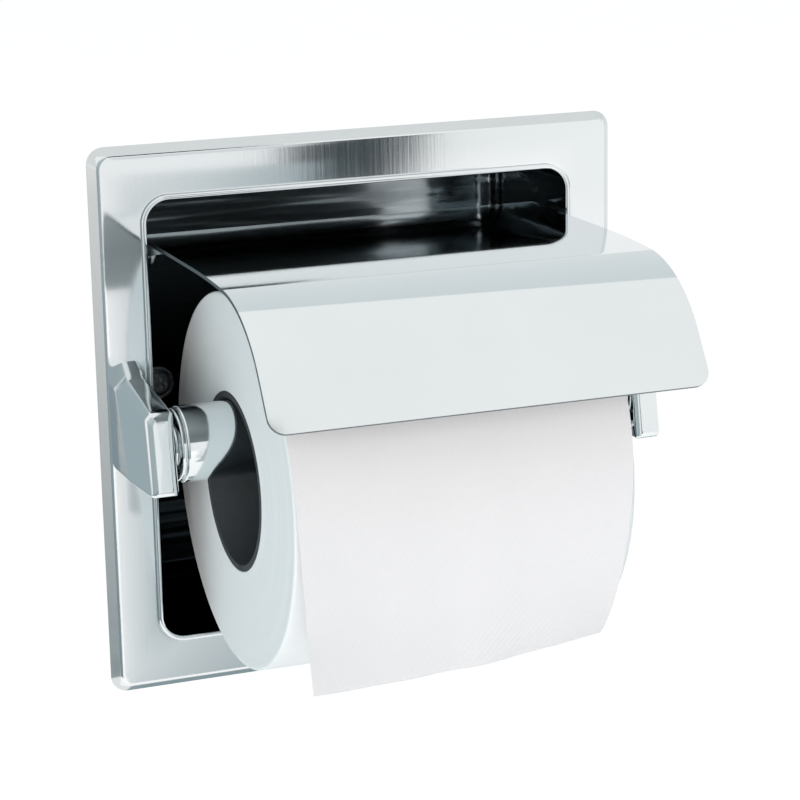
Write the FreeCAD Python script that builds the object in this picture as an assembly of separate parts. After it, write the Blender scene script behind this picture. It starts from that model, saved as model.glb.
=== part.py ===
import FreeCAD, Part
import math
import os

# Recessed toilet roll holder, in millimetres. The origin is the centre of the flange on the wall's surface:
# +X to the right as seen from the room, +Y back into the wall, +Z up.

# Paper: a roll that hangs on the roller by its cardboard core, and the free end of its sheet
ROLL_D = 104.0
ROLL_WIDTH = 96.4
ROLL_SHIFT = -1.0
ROLL_EDGE = 0.8
CORE_D = 49.6
CORE_WALL = 1.8
CORE_GAP = 0.05
TAIL_THICKNESS = 0.4
TAIL_START_ANGLE = 32.0
TAIL_CLEARANCE = 0.5
TAIL_LEFT_SWING = 22.2
TAIL_RIGHT_SWING = 5.4
TAIL_DRAW_IN = 2.9
# at even steps down the sheet: degrees that its left and right edges have turned round the roll, and shares
# of the swing away from the roll and of the right edge's draw-in that they have reached
TAIL_LEFT_TURN = (0.0, 13.0, 26.4, 41.0, 54.5, 64.9)
TAIL_LEFT_SHARE = (0.0, 0.018, 0.063, 0.216, 0.527, 1.0)
TAIL_RIGHT_TURN = (0.0, 14.0, 28.5, 43.7, 63.0, 83.5)
TAIL_RIGHT_SHARE = (0.0, 0.018, 0.055, 0.148, 0.444, 1.0)
TAIL_DRAW_SHARE = (0.0, 0.207, 0.414, 0.69, 0.897, 1.0)

# Recess pan: drawn box, wider than the roll, with a rolled lip that lies on the flange
PAN_ROOM = 22.0
PAN_CORNER = 6.5
PAN_DEPTH = 50.0
PAN_WALL = 0.8
PAN_BACK_ROUND = 6.0
PAN_CLEARANCE = 0.2
LIP_OVERLAP = 1.6
LIP_THICKNESS = 1.2
LIP_ROUND = 0.96

# Trim flange: pressed sheet that covers the edge of the hole in the wall, 157 square as drawn
FLANGE_MARGIN = 3.0
FLANGE_CORNER = 5.0
FLANGE_RISE = 3.0
FLANGE_BEVEL = 2.5
FLANGE_SHEET = 1.0

# Posts: die-cast blocks on the flange's left and right borders
POST_LIP_GAP = 1.6
POST_WIDTH = 8.5
POST_REACH = 39.0
POST_FRONT_LEAN = 4.0
POST_BASE_TOP = 18.8
POST_BASE_SHOULDER = 12.3
POST_BASE_BOTTOM = -12.0
POST_BASE_RIDGE = 3.2
POST_FRONT_TOP = 12.1
POST_FRONT_SHOULDER = 10.5
POST_FRONT_BOTTOM = -10.0
POST_FRONT_RIDGE = 1.6
POST_FACET_TOP = 15.6
POST_FACET_RIDGE = 2.8
POST_FACET_TOP_DEPTH = 9.0
POST_FACET_SHOULDER_DEPTH = 6.0
POST_FACET_BOTTOM_DEPTH = 17.0
POST_FACET_INSET = 0.7
POST_TAPER_SIDE = 0.4
POST_ROUND = 1.4
POST_FRONT_ROUND = 1.12
POST_SCREW_D = 4.0
POST_SCREW_LENGTH = 10.0
POST_SCREW_SPACING = 12.0
POST_SCREW_HEAD_D = 6.0
POST_SCREW_HEAD_HEIGHT = 1.5
POST_SCREW_SLOT = 1.0
POST_SCREW_SLOT_DEPTH = 0.75

# Roller: two telescoping halves, plugs at the ends and a spring inside
ROLLER_FROM_FRONT = 12.0
ROLLER_HEIGHT = 1.0
ROLLER_D = 21.0
ROLLER_WALL = 1.3
ROLLER_OUTER_LENGTH = 82.0
ROLLER_TRAVEL = 12.0
ROLLER_TRAVEL_SPARE = 2.0
ROLLER_OVERLAP = 35.0
ROLLER_INNER_WALL = 1.4
PLUG_COLLAR_STEP = 0.5
PLUG_COLLAR = 1.5
PLUG_STEM = 8.0
PLUG_NECK_D = 12.0
PLUG_NECK = 0.8
PLUG_POST_GAP = 0.5
SPIGOT_D = 8.0
SPIGOT = 4.0
SPIGOT_CHAMFER = 1.0
SPIGOT_END_GAP = 1.0
SPRING_WIRE_D = 1.2
SPRING_GAP = 1.6
SPRING_TURNS = 9

# Hood: one bent sheet above the roll, with an ear at each rear corner
HOOD_SIDE_GAP = 2.55
HOOD_ROLL_GAP = 8.7
HOOD_SHEET = 1.0
HOOD_REAR_MARGIN = 0.9
HOOD_FLAT_END = -59.2
HOOD_BEND_RADIUS = 38.2
HOOD_BEND_ANGLE = 58.0
HOOD_SKIRT = 15.1
HOOD_CORNER = 4.5
EAR_FRONT = -11.0
EAR_HALF_WIDTH = 3.6
EAR_HEEL = 9.0

# Hood hinge and stops
HINGE_BACK = 9.5
HINGE_PIN_D = 3.0
HINGE_PIN_TIP = 0.8
HINGE_SHOULDER_D = 6.0
HINGE_HEAD_HEIGHT = 1.0
HINGE_CLIP_D = 6.0
HINGE_CLIP_THICKNESS = 0.8
HINGE_CLIP_GAP = 0.6
STOP_PIN_D = 3.0
STOP_PIN_SPARE = 1.0
STOP_HEAD_D = 5.0

# Wall clamps: two bent strips behind the pan, each drawn up to the back of the wall board by a screw
WALL_BOARD = 12.7
CLAMP_STRIP = 2.0
CLAMP_WIDTH = 20.0
CLAMP_PAN_GAP = 1.2
CLAMP_FOOT = 8.5
CLAMP_BEND = 1.5
CLAMP_BACK_GAP = 9.0
CLAMP_SCREW_INSET = 16.0
CLAMP_SCREW_DROP = 1.5
CLAMP_SCREW_D = 5.0
CLAMP_SCREW_LENGTH = 27.0
CLAMP_SCREW_POINT = 0.8
CLAMP_HEAD_D = 6.6
CLAMP_HEAD_HEIGHT = 2.6
CLAMP_HEAD_DOME = 0.9
CLAMP_HEAD_GAP = 0.15
CLAMP_RECESS_WIDTH = 1.1
CLAMP_RECESS_LENGTH = 4.0
CLAMP_RECESS_DEPTH = 1.4
CUP_D = 10.0
CUP_HEIGHT = 1.2
CUP_FLOOR = 0.6
CUP_RIM = 1.2
CUP_EDGE = 0.4
NUT_ACROSS = 8.0
NUT_HEIGHT = 4.0

# Clearances: between pieces that turn or slide, between pieces that are fixed, and between bodies at rest
RUNNING = 0.06
FIXED = 0.02
REST_GAP = 0.3
# The largest share of a wall or corner that a fillet takes, and how far a cut runs past what it cuts
FILLET_SHARE = 0.94
CUT_SPARE = 5.0

# Places worked out from the sizes above
ROLL_R = ROLL_D / 2
ROLL_LEFT = ROLL_SHIFT - ROLL_WIDTH / 2
ROLL_RIGHT = ROLL_SHIFT + ROLL_WIDTH / 2
PAN_HALF = (ROLL_D + PAN_ROOM) / 2
PAN_OUTER_HALF = PAN_HALF + PAN_WALL
PAN_BACK_Y = PAN_DEPTH + PAN_WALL
FACE_Y = -FLANGE_RISE
POST_INNER_X = PAN_OUTER_HALF + LIP_OVERLAP + POST_LIP_GAP
POST_MID_X = POST_INNER_X + POST_WIDTH / 2
POST_FRONT_Y = FACE_Y - POST_REACH
FLANGE_HALF = POST_INNER_X + POST_WIDTH + FLANGE_MARGIN
ROLLER_Y = POST_FRONT_Y + ROLLER_FROM_FRONT
ROLLER_HALF = POST_INNER_X - PLUG_POST_GAP - PLUG_NECK - PLUG_COLLAR
ROLLER_BORE_R = ROLLER_D / 2 - ROLLER_WALL
ROLLER_MOUTH_X = -ROLLER_HALF + ROLLER_OUTER_LENGTH
ROLLER_HEAD_X = ROLLER_MOUTH_X + ROLLER_TRAVEL + ROLLER_TRAVEL_SPARE
SPRING_SEAT_X = ROLLER_MOUTH_X - ROLLER_OVERLAP
CORE_INNER_R = CORE_D / 2 - CORE_WALL
ROLL_Z = ROLLER_HEIGHT + ROLLER_D / 2 + REST_GAP - CORE_INNER_R
HOOD_HALF = PAN_HALF - HOOD_SIDE_GAP
HOOD_UNDER = ROLL_Z + ROLL_R + HOOD_ROLL_GAP
HOOD_TOP = HOOD_UNDER + HOOD_SHEET
HOOD_REAR = HINGE_BACK + EAR_HALF_WIDTH + HOOD_REAR_MARGIN
HINGE_Z = HOOD_UNDER - HINGE_CLIP_D / 2 - HINGE_CLIP_GAP
HEEL_Z = HINGE_Z - EAR_HEEL + EAR_HALF_WIDTH
STOP_Y = HINGE_BACK + EAR_HALF_WIDTH + REST_GAP + STOP_PIN_D / 2
CLAMP_BAR_Y = PAN_BACK_Y + CLAMP_BACK_GAP
CLAMP_SCREW_X = PAN_HALF - CLAMP_SCREW_INSET
CLAMP_SCREW_Z = -CLAMP_SCREW_DROP

LEFT = -1
RIGHT = 1
X_AXIS = FreeCAD.Vector(1, 0, 0)
Y_AXIS = FreeCAD.Vector(0, 1, 0)


def point(x, y, z):
    return FreeCAD.Vector(x, y, z)


def rounded_outline(places, radius):
    """A closed wire through the places in order, with an arc at each corner."""
    arcs = []
    for index, corner in enumerate(places):
        back = (places[index - 1] - corner).normalize()
        ahead = (places[(index + 1) % len(places)] - corner).normalize()
        half_angle = back.getAngle(ahead) / 2
        reach = radius / math.tan(half_angle)
        inward = (back + ahead).normalize()
        middle = corner + inward * (radius / math.sin(half_angle) - radius)
        arcs.append((corner + back * reach, middle, corner + ahead * reach))
    edges = []
    for index, (begin, middle, end) in enumerate(arcs):
        edges.append(Part.Arc(begin, middle, end).toShape())
        edges.append(Part.makeLine(end, arcs[(index + 1) % len(arcs)][0]))
    return Part.Wire(edges)


def round_square(half, radius, y):
    corners = ((half, -half), (half, half), (-half, half), (-half, -half))
    return rounded_outline([point(x, y, z) for x, z in corners], radius)


def prism(half, radius, front_y, back_y):
    """A square block with rounded corners between two depths."""
    face = Part.Face(round_square(half, radius, front_y))
    return face.extrude(Y_AXIS * (back_y - front_y))


def lathe_x(profile, y, z):
    """A turned solid about the X direction through (y, z), from corners given as (x, radius)."""
    corners = [point(x, y, z + radius) for x, radius in profile]
    face = Part.Face(Part.makePolygon(corners + corners[:1]))
    return face.revolve(point(0, y, z), X_AXIS, 360)


def lathe_y(profile, x, z):
    """A turned solid about the Y direction through (x, z), from corners given as (y, radius)."""
    corners = [point(x, y, z + radius) for y, radius in profile]
    face = Part.Face(Part.makePolygon(corners + corners[:1]))
    return face.revolve(point(x, 0, z), Y_AXIS, 360)


def rod_x(diameter, x0, x1, y, z):
    return Part.makeCylinder(diameter / 2, abs(x1 - x0), point(min(x0, x1), y, z), X_AXIS)


def rod_y(diameter, y0, y1, x, z):
    return Part.makeCylinder(diameter / 2, y1 - y0, point(x, y0, z), Y_AXIS)


def edges_on(shape, place, normal):
    """The edges that lie wholly in the plane through a place."""
    tolerance = 1e-4
    spots = 5

    def off_plane(edge):
        return max(abs((spot - place).dot(normal)) for spot in edge.discretize(spots))

    return [edge for edge in shape.Edges if off_plane(edge) < tolerance]


def edges_at(shape, y):
    """The edges that lie wholly in the plane at depth y."""
    return edges_on(shape, point(0, y, 0), Y_AXIS)


def post_screw_places(side):
    middle = (POST_BASE_SHOULDER + POST_BASE_BOTTOM) / 2
    return [(side * POST_MID_X, middle + end * POST_SCREW_SPACING / 2) for end in (-1, 1)]


def trim_flange():
    front_half = FLANGE_HALF - FLANGE_BEVEL
    front_corner = FLANGE_CORNER - FLANGE_BEVEL / 2
    rim = round_square(FLANGE_HALF, FLANGE_CORNER, 0)
    front = round_square(front_half, front_corner, FACE_Y)
    shell = Part.makeLoft([rim, front], True, True)
    inner_rim = round_square(FLANGE_HALF - FLANGE_SHEET, FLANGE_CORNER - FLANGE_SHEET, 0)
    inner_front = round_square(front_half - FLANGE_SHEET, front_corner - FLANGE_SHEET, FACE_Y + FLANGE_SHEET)
    hollow = Part.makeLoft([inner_rim, inner_front], True, True)
    hole = PAN_OUTER_HALF + PAN_CLEARANCE
    hole_corner = PAN_CORNER + PAN_WALL + PAN_CLEARANCE
    flange = shell.cut(hollow).cut(prism(hole, hole_corner, FACE_Y - CUT_SPARE, CUT_SPARE))
    for side in (LEFT, RIGHT):
        for x, z in post_screw_places(side):
            flange = flange.cut(rod_y(POST_SCREW_D + 2 * RUNNING, FACE_Y - CUT_SPARE, CUT_SPARE, x, z))
    return flange


def recess_pan():
    outer_corner = PAN_CORNER + PAN_WALL
    body = prism(PAN_OUTER_HALF, outer_corner, FACE_Y, PAN_BACK_Y)
    back_round = min(PAN_BACK_ROUND, FILLET_SHARE * PAN_CORNER)
    body = body.makeFillet(back_round + PAN_WALL, edges_at(body, PAN_BACK_Y))
    lip_front = FACE_Y - LIP_THICKNESS
    lip = prism(PAN_OUTER_HALF + LIP_OVERLAP, outer_corner + LIP_OVERLAP, lip_front, FACE_Y)
    hollow = prism(PAN_HALF, PAN_CORNER, lip_front - CUT_SPARE, PAN_DEPTH)
    hollow = hollow.makeFillet(back_round, edges_at(hollow, PAN_DEPTH))
    pan = body.fuse(lip).removeSplitter().cut(hollow)
    lip_wall = min(LIP_THICKNESS, (PAN_WALL + LIP_OVERLAP) / 2)
    pan = pan.makeFillet(min(LIP_ROUND, FILLET_SHARE * lip_wall), edges_at(pan, lip_front))
    for side in (LEFT, RIGHT):
        inner_x = side * (PAN_HALF - CUT_SPARE)
        outer_x = side * (PAN_OUTER_HALF + CUT_SPARE)
        pan = pan.cut(rod_x(HINGE_PIN_D + 2 * FIXED, inner_x, outer_x, HINGE_BACK, HINGE_Z))
        pan = pan.cut(rod_x(STOP_PIN_D + 2 * FIXED, inner_x, outer_x, STOP_Y, HEEL_Z))
        screw_x = side * CLAMP_SCREW_X
        hole = CLAMP_SCREW_D + 2 * RUNNING
        pan = pan.cut(rod_y(hole, PAN_DEPTH - CUT_SPARE, PAN_BACK_Y + CUT_SPARE, screw_x, CLAMP_SCREW_Z))
    return pan


def post_section(side, inset, ridge, low, shoulder, top):
    """The post's five corners with rounds between: upright sides, and a chamfer from outer side to ridge. Low,
    shoulder and top are each a depth in front of the flange and a height."""

    def corner(place, inward=None):
        depth, height = place
        drawn_in = POST_TAPER_SIDE * depth / POST_REACH
        x = POST_INNER_X + drawn_in
        if inward is not None:
            x = POST_INNER_X + POST_WIDTH - drawn_in - inset - inward
        return point(side * x, FACE_Y - depth, height)

    places = [corner(low), corner(low, 0), corner(shoulder, 0), corner(top, ridge), corner(top)]
    return rounded_outline(places, POST_ROUND)


def post(side):
    """Die-cast block: a facet runs in to the flange behind, the roof falls towards the front, and the front
    leans back."""

    def between(base, front, depth):
        return base + (front - base) * depth / POST_REACH

    def front_place(height):
        rise = (height - POST_FRONT_BOTTOM) / (POST_FRONT_TOP - POST_FRONT_BOTTOM)
        return POST_REACH - POST_FRONT_LEAN * rise, height

    facet_low = (POST_FACET_BOTTOM_DEPTH, between(POST_BASE_BOTTOM, POST_FRONT_BOTTOM, POST_FACET_BOTTOM_DEPTH))
    facet_side = (POST_FACET_SHOULDER_DEPTH,
                  between(POST_BASE_SHOULDER, POST_FRONT_SHOULDER, POST_FACET_SHOULDER_DEPTH))
    facet_top = (POST_FACET_TOP_DEPTH, POST_FACET_TOP)
    front_low, front_side, front_top = [
        front_place(height) for height in (POST_FRONT_BOTTOM, POST_FRONT_SHOULDER, POST_FRONT_TOP)]
    block = Part.makeLoft([
        post_section(side, POST_FACET_INSET, POST_BASE_RIDGE, (0, POST_BASE_BOTTOM), (0, POST_BASE_SHOULDER),
                     (0, POST_BASE_TOP)),
        post_section(side, 0, POST_FACET_RIDGE, facet_low, facet_side, facet_top),
        post_section(side, 0, POST_FRONT_RIDGE, front_low, front_side, front_top),
    ], True, True)
    front_round = min(POST_FRONT_ROUND, FILLET_SHARE * POST_ROUND)
    front_normal = point(0, POST_FRONT_TOP - POST_FRONT_BOTTOM, -POST_FRONT_LEAN).normalize()
    front_foot = point(0, POST_FRONT_Y, POST_FRONT_BOTTOM)
    block = block.makeFillet(front_round, edges_on(block, front_foot, front_normal))
    socket_inner = side * (POST_INNER_X - CUT_SPARE)
    socket_end = side * (POST_INNER_X - PLUG_POST_GAP + SPIGOT + SPIGOT_END_GAP)
    block = block.cut(rod_x(SPIGOT_D + 2 * RUNNING, socket_inner, socket_end, ROLLER_Y, ROLLER_HEIGHT))
    for x, z in post_screw_places(side):
        depth = POST_SCREW_LENGTH - FLANGE_SHEET + REST_GAP
        block = block.cut(rod_y(POST_SCREW_D + 2 * FIXED, FACE_Y - depth, FACE_Y + CUT_SPARE, x, z))
    return block


def post_screws(side):
    head_front = FACE_Y + FLANGE_SHEET
    screws = []
    for x, z in post_screw_places(side):
        shank = rod_y(POST_SCREW_D, head_front - POST_SCREW_LENGTH, head_front, x, z)
        head = rod_y(POST_SCREW_HEAD_D, head_front, head_front + POST_SCREW_HEAD_HEIGHT, x, z)
        slot_y = head_front + POST_SCREW_HEAD_HEIGHT - POST_SCREW_SLOT_DEPTH
        slot_corner = point(x - POST_SCREW_SLOT / 2, slot_y, z - POST_SCREW_HEAD_D / 2)
        slot = Part.makeBox(POST_SCREW_SLOT, POST_SCREW_SLOT_DEPTH, POST_SCREW_HEAD_D, slot_corner)
        screws.append(shank.fuse(head).removeSplitter().cut(slot))
    return Part.makeCompound(screws)


def bend_points(radius):
    """Start, middle and end of the hood's bend at a radius about the bend's centre."""
    centre_z = HOOD_TOP - HOOD_BEND_RADIUS
    angles = [math.radians(HOOD_BEND_ANGLE * share) for share in (0, 0.5, 1)]
    return [point(0, HOOD_FLAT_END - radius * math.sin(a), centre_z + radius * math.cos(a)) for a in angles]


def hood_sheet():
    end_angle = math.radians(HOOD_BEND_ANGLE)
    skirt = point(0, -math.cos(end_angle), -math.sin(end_angle)) * HOOD_SKIRT
    outer = bend_points(HOOD_BEND_RADIUS)
    inner = bend_points(HOOD_BEND_RADIUS - HOOD_SHEET)
    outer_rear = point(0, HOOD_REAR, HOOD_TOP)
    inner_rear = point(0, HOOD_REAR, HOOD_UNDER)
    outer_edge = outer[2] + skirt
    inner_edge = inner[2] + skirt
    edges = [
        Part.makeLine(outer_rear, outer[0]),
        Part.Arc(*outer).toShape(),
        Part.makeLine(outer[2], outer_edge),
        Part.makeLine(outer_edge, inner_edge),
        Part.makeLine(inner_edge, inner[2]),
        Part.Arc(inner[2], inner[1], inner[0]).toShape(),
        Part.makeLine(inner[0], inner_rear),
        Part.makeLine(inner_rear, outer_rear),
    ]
    profile = Part.Face(Part.Wire(edges))
    profile.translate(X_AXIS * -HOOD_HALF)
    sheet = profile.extrude(X_AXIS * 2 * HOOD_HALF)
    ends = [e for e in sheet.Edges if is_front_corner(e, outer_edge, inner_edge)]
    return sheet.makeFillet(HOOD_CORNER, ends)


def is_front_corner(edge, outer_edge, inner_edge):
    """Is this one of the two short edges through the sheet at the skirt's front corners?"""
    tolerance = 1e-3
    depths = sorted(v.Point.y for v in edge.Vertexes)
    across = edge.BoundBox.XLength < tolerance
    expected = sorted((outer_edge.y, inner_edge.y))
    return across and all(abs(a - b) < tolerance for a, b in zip(depths, expected))


def hood_ear(side):
    """A bent-down tab: it deepens towards the hinge pin and ends in a round heel below it."""
    front_side = HINGE_BACK - EAR_HALF_WIDTH
    rear_side = HINGE_BACK + EAR_HALF_WIDTH
    top = HOOD_UNDER + HOOD_SHEET / 2
    edges = [
        Part.makeLine(point(0, EAR_FRONT, HOOD_UNDER), point(0, front_side, HINGE_Z)),
        Part.makeLine(point(0, front_side, HINGE_Z), point(0, front_side, HEEL_Z)),
        Part.Arc(
            point(0, front_side, HEEL_Z),
            point(0, HINGE_BACK, HEEL_Z - EAR_HALF_WIDTH),
            point(0, rear_side, HEEL_Z),
        ).toShape(),
        Part.makeLine(point(0, rear_side, HEEL_Z), point(0, rear_side, top)),
        Part.makeLine(point(0, rear_side, top), point(0, EAR_FRONT, top)),
        Part.makeLine(point(0, EAR_FRONT, top), point(0, EAR_FRONT, HOOD_UNDER)),
    ]
    face = Part.Face(Part.Wire(edges))
    face.translate(X_AXIS * (side * HOOD_HALF))
    return face.extrude(X_AXIS * (-side * HOOD_SHEET))


def hood():
    shape = hood_sheet()
    for side in (LEFT, RIGHT):
        shape = shape.fuse(hood_ear(side)).removeSplitter()
    hole = HINGE_PIN_D + 2 * RUNNING
    for side in (LEFT, RIGHT):
        start = side * (HOOD_HALF - CUT_SPARE)
        end = side * (HOOD_HALF + CUT_SPARE)
        shape = shape.cut(rod_x(hole, start, end, HINGE_BACK, HINGE_Z))
    return shape


def hinge_pin(side):
    """Shoulder rivet: a head outside the pan, a shoulder between pan and ear, a journal through the ear."""
    ear_inner = HOOD_HALF - HOOD_SHEET
    journal_end = ear_inner - REST_GAP - HINGE_CLIP_THICKNESS - HINGE_PIN_TIP
    shoulder_end = HOOD_HALF + REST_GAP
    head_end = PAN_OUTER_HALF + HINGE_HEAD_HEIGHT
    profile = [
        (journal_end, 0),
        (journal_end, HINGE_PIN_D / 2),
        (shoulder_end, HINGE_PIN_D / 2),
        (shoulder_end, HINGE_SHOULDER_D / 2),
        (PAN_HALF, HINGE_SHOULDER_D / 2),
        (PAN_HALF, HINGE_PIN_D / 2),
        (PAN_OUTER_HALF, HINGE_PIN_D / 2),
        (PAN_OUTER_HALF, HINGE_SHOULDER_D / 2),
        (head_end, HINGE_PIN_D / 2),
        (head_end, 0),
    ]
    return lathe_x([(side * x, radius) for x, radius in profile], HINGE_BACK, HINGE_Z)


def hinge_clip(side):
    near = HOOD_HALF - HOOD_SHEET - REST_GAP
    far = near - HINGE_CLIP_THICKNESS
    ring = rod_x(HINGE_CLIP_D, side * near, side * far, HINGE_BACK, HINGE_Z)
    bore_start = side * (near + CUT_SPARE)
    bore_end = side * (far - CUT_SPARE)
    return ring.cut(rod_x(HINGE_PIN_D + 2 * FIXED, bore_start, bore_end, HINGE_BACK, HINGE_Z))


def hood_stop(side):
    """Rivet behind the ear's heel: it holds the hood level, and the heel leaves it as the hood lifts."""
    inner_end = HOOD_HALF - HOOD_SHEET - STOP_PIN_SPARE
    pin = rod_x(STOP_PIN_D, side * inner_end, side * PAN_OUTER_HALF, STOP_Y, HEEL_Z)
    head_end = PAN_OUTER_HALF + HINGE_HEAD_HEIGHT
    head = rod_x(STOP_HEAD_D, side * PAN_OUTER_HALF, side * head_end, STOP_Y, HEEL_Z)
    return pin.fuse(head).removeSplitter()


def end_plug(side):
    """Plug pressed into the roller's end: stem, collar, neck and the spigot that sits in the post."""
    collar_r = ROLLER_D / 2 - PLUG_COLLAR_STEP
    collar_end = ROLLER_HALF + PLUG_COLLAR
    neck_end = collar_end + PLUG_NECK
    tip = neck_end + SPIGOT
    profile = [
        (ROLLER_HALF - PLUG_STEM, 0),
        (ROLLER_HALF - PLUG_STEM, ROLLER_BORE_R - FIXED),
        (ROLLER_HALF, ROLLER_BORE_R - FIXED),
        (ROLLER_HALF, collar_r),
        (collar_end, collar_r),
        (collar_end, PLUG_NECK_D / 2),
        (neck_end, PLUG_NECK_D / 2),
        (neck_end, SPIGOT_D / 2),
        (tip - SPIGOT_CHAMFER, SPIGOT_D / 2),
        (tip, SPIGOT_D / 2 - SPIGOT_CHAMFER),
        (tip, 0),
    ]
    return lathe_x([(side * x, radius) for x, radius in profile], ROLLER_Y, ROLLER_HEIGHT)


def roller_outer_half():
    profile = [
        (-ROLLER_HALF, ROLLER_BORE_R),
        (-ROLLER_HALF, ROLLER_D / 2),
        (ROLLER_MOUTH_X, ROLLER_D / 2),
        (ROLLER_MOUTH_X, ROLLER_BORE_R),
    ]
    return lathe_x(profile, ROLLER_Y, ROLLER_HEIGHT)


def roller_inner_half():
    """Slim tube closed at the spring's end, with a head as wide as the outer half at the other."""
    slide_r = ROLLER_BORE_R - RUNNING
    hollow_r = slide_r - ROLLER_INNER_WALL
    plug_seat = ROLLER_HALF - PLUG_STEM
    seat_inside = SPRING_SEAT_X + ROLLER_INNER_WALL
    profile = [
        (SPRING_SEAT_X, 0),
        (SPRING_SEAT_X, slide_r),
        (ROLLER_HEAD_X, slide_r),
        (ROLLER_HEAD_X, ROLLER_D / 2),
        (ROLLER_HALF, ROLLER_D / 2),
        (ROLLER_HALF, ROLLER_BORE_R),
        (plug_seat, ROLLER_BORE_R),
        (plug_seat, hollow_r),
        (seat_inside, hollow_r),
        (seat_inside, 0),
    ]
    return lathe_x(profile, ROLLER_Y, ROLLER_HEIGHT)


def roller_spring():
    """A coil of half turns, each a half circle tilted so that the next one carries on smoothly."""
    wire_r = SPRING_WIRE_D / 2
    start = -ROLLER_HALF + PLUG_STEM + wire_r + REST_GAP
    end = SPRING_SEAT_X - wire_r - REST_GAP
    half_turns = 2 * SPRING_TURNS
    step = (end - start) / half_turns
    coil_r = ROLLER_BORE_R - SPRING_GAP - wire_r
    bulge = math.hypot(coil_r, step / 2)
    edges = []
    for index in range(half_turns):
        sign = 1 if index % 2 == 0 else -1
        x = start + index * step
        first = point(x, ROLLER_Y, ROLLER_HEIGHT + sign * coil_r)
        middle = point(x + step / 2, ROLLER_Y + sign * bulge, ROLLER_HEIGHT)
        last = point(x + step, ROLLER_Y, ROLLER_HEIGHT - sign * coil_r)
        edges.append(Part.Arc(first, middle, last).toShape())
    path = Part.Wire(edges)
    ring = Part.makeCircle(wire_r, edges[0].Vertexes[0].Point, Y_AXIS)
    print("spring gap between turns", round(2 * step - SPRING_WIRE_D, 3))
    return path.makePipeShell([Part.Wire([ring])], True, False)


def core_tube():
    profile = [
        (ROLL_LEFT, CORE_INNER_R),
        (ROLL_LEFT, CORE_D / 2),
        (ROLL_RIGHT, CORE_D / 2),
        (ROLL_RIGHT, CORE_INNER_R),
    ]
    return lathe_x(profile, ROLLER_Y, ROLL_Z)


def paper_roll():
    bore = CORE_D / 2 + CORE_GAP
    profile = [
        (ROLL_LEFT, bore),
        (ROLL_LEFT, ROLL_R - ROLL_EDGE),
        (ROLL_LEFT + ROLL_EDGE, ROLL_R),
        (ROLL_RIGHT - ROLL_EDGE, ROLL_R),
        (ROLL_RIGHT, ROLL_R - ROLL_EDGE),
        (ROLL_RIGHT, bore),
    ]
    return lathe_x(profile, ROLLER_Y, ROLL_Z)


def tail_point(x, turn, stand_off):
    """A point in front of the roll, some degrees down from where the sheet starts."""
    angle = math.radians(TAIL_START_ANGLE - turn)
    reach = ROLL_R + stand_off
    return point(x, ROLLER_Y - reach * math.cos(angle), ROLL_Z + reach * math.sin(angle))


def paper_tail():
    """The hanging end of the sheet: its left side swings out to the front, its right side curls back."""
    sections = []
    rows = zip(TAIL_LEFT_TURN, TAIL_LEFT_SHARE, TAIL_RIGHT_TURN, TAIL_RIGHT_SHARE, TAIL_DRAW_SHARE)
    for left_turn, left_share, right_turn, right_share, draw_share in rows:
        left_lift = TAIL_CLEARANCE + TAIL_LEFT_SWING * left_share
        right_lift = TAIL_CLEARANCE + TAIL_RIGHT_SWING * right_share
        right_edge = ROLL_RIGHT - TAIL_DRAW_IN * draw_share
        left_back = tail_point(ROLL_LEFT, left_turn, left_lift)
        right_back = tail_point(right_edge, right_turn, right_lift)
        middle_turn = (left_turn + right_turn) / 2
        through = tail_point(0, middle_turn, TAIL_THICKNESS) - tail_point(0, middle_turn, 0)
        corners = [left_back, right_back, right_back + through, left_back + through]
        sections.append(Part.makePolygon(corners + corners[:1]))
    return Part.makeLoft(sections, True, False)


def clamp(side):
    """A strip bent to a wide U: its bar stands behind the pan and its feet turn out behind the wall board."""
    inner_arm = PAN_OUTER_HALF + CLAMP_PAN_GAP
    outer_arm = inner_arm + CLAMP_STRIP
    foot_tip = outer_arm + CLAMP_FOOT
    foot_front = WALL_BOARD
    foot_back = WALL_BOARD + CLAMP_STRIP
    bar_front = CLAMP_BAR_Y
    bar_back = CLAMP_BAR_Y + CLAMP_STRIP
    half = [
        (bar_front, inner_arm),
        (foot_front, inner_arm),
        (foot_front, foot_tip),
        (foot_back, foot_tip),
        (foot_back, outer_arm),
        (bar_back, outer_arm),
    ]
    outline = half + [(y, -z) for y, z in reversed(half)]
    middle = side * CLAMP_SCREW_X
    corners = [point(middle - CLAMP_WIDTH / 2, y, z) for y, z in outline]
    strip = Part.Face(Part.makePolygon(corners + corners[:1])).extrude(X_AXIS * CLAMP_WIDTH)
    for radius, places in (
        (CLAMP_BEND, [(bar_front, inner_arm), (foot_back, outer_arm)]),
        (CLAMP_BEND + CLAMP_STRIP, [(bar_back, outer_arm), (foot_front, inner_arm)]),
    ):
        strip = strip.makeFillet(radius, cross_edges(strip, places))
    hole = CLAMP_SCREW_D + 2 * RUNNING
    return strip.cut(rod_y(hole, bar_front - CUT_SPARE, bar_back + CUT_SPARE, middle, CLAMP_SCREW_Z))


def cross_edges(shape, places):
    """Edges along X that stand at the given (y, |z|) places."""
    tolerance = 1e-3
    found = []
    for edge in shape.Edges:
        box = edge.BoundBox
        if box.YLength > tolerance or box.ZLength > tolerance:
            continue
        if any(abs(box.YMin - y) < tolerance and abs(abs(box.ZMin) - z) < tolerance for y, z in places):
            found.append(edge)
    return found


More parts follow.
